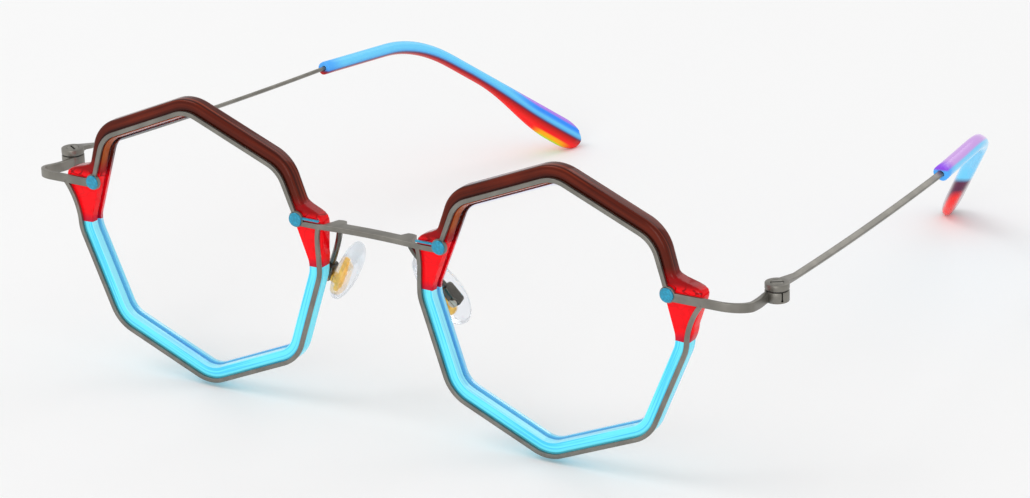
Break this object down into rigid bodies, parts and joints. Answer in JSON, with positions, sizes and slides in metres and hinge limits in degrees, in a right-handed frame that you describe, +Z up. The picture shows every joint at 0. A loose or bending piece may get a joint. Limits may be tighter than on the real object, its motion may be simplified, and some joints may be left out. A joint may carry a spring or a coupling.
{
  "type": "eyeglasses",
  "caption": "Octagonal-rim eyeglasses: spliced acetate rims pinned to a flat metal front, rocking nose pads and wire temples with acetate tips that fold on hinge screws.",
  "frame": {"origin": "middle of the bridge's front face, on the plane of symmetry", "axes": "+X to the wearer's left along the front's width, +Y back along the open temples, +Z up; the metal front faces -Y"},
  "size_m": [0.1442, 0.1379, 0.0513],
  "materials": {
    "gunmetal": "satin gunmetal plating on thin metal",
    "teal_enamel": "glossy teal lacquer",
    "brown_acetate": "polished dark brown cellulose acetate",
    "red_acetate": "polished translucent red cellulose acetate",
    "cyan_acetate": "polished pale cyan cellulose acetate",
    "clear_lens": "clear, polished",
    "bright_steel": "bright screw steel",
    "dark_washer": "smooth dark washer",
    "layered_acetate": "polished layered acetate, blue, lilac and red",
    "gold_insert": "yellow-gold moulded insert",
    "clear_silicone": "soft clear silicone"
  },
  "bodies": {
    "front": {"bridge": "gunmetal", "brow_wire_left": "gunmetal", "lower_wire_left": "gunmetal", "end_piece_left": "gunmetal", "nose_rivet_left": "teal_enamel", "side_rivet_left": "teal_enamel", "brow_block_left": "brown_acetate", "nose_block_left": "red_acetate", "side_block_left": "red_acetate", "lower_block_left": "cyan_acetate", "lens_left": "clear_lens", "hinge_screw_left": "bright_steel", "hinge_washer_left": "dark_washer", "pad_arm_left": "gunmetal", "pad_box_left": "gunmetal", "pad_screw_left": "bright_steel", "brow_wire_right": "gunmetal", "lower_wire_right": "gunmetal", "end_piece_right": "gunmetal", "nose_rivet_right": "teal_enamel", "side_rivet_right": "teal_enamel", "brow_block_right": "brown_acetate", "nose_block_right": "red_acetate", "side_block_right": "red_acetate", "lower_block_right": "cyan_acetate", "lens_right": "clear_lens", "hinge_screw_right": "bright_steel", "hinge_washer_right": "dark_washer", "pad_arm_right": "gunmetal", "pad_box_right": "gunmetal", "pad_screw_right": "bright_steel"},
    "temple_left": {"temple_wire_left": "gunmetal", "temple_tip_left": "layered_acetate"},
    "pad_left": {"pad_insert_left": "gold_insert", "nose_pad_left": "clear_silicone"},
    "temple_right": {"temple_wire_right": "gunmetal", "temple_tip_right": "layered_acetate"},
    "pad_right": {"pad_insert_right": "gold_insert", "nose_pad_right": "clear_silicone"}
  },
  "joints": [
    {"name": "temple_fold_left", "type": "hinge", "parent": "front", "child": "temple_left", "pos_m": [0.0701, 0.0117, 0], "axis": [0, 0, 1], "range_deg": [0, 78]},
    {"name": "temple_fold_right", "type": "hinge", "parent": "front", "child": "temple_right", "pos_m": [-0.0701, 0.0117, 0], "axis": [0, 0, -1], "range_deg": [0, 70]},
    {"name": "pad_rock_left", "type": "hinge", "parent": "front", "child": "pad_left", "pos_m": [0.01271, 0.00682, -0.01099], "axis": [0.0862, -0.9462, -0.3119], "range_deg": [-6, 6]},
    {"name": "pad_rock_right", "type": "hinge", "parent": "front", "child": "pad_right", "pos_m": [-0.01271, 0.00682, -0.01099], "axis": [0.0862, 0.9462, 0.3119], "range_deg": [-6, 6]}
  ]
}
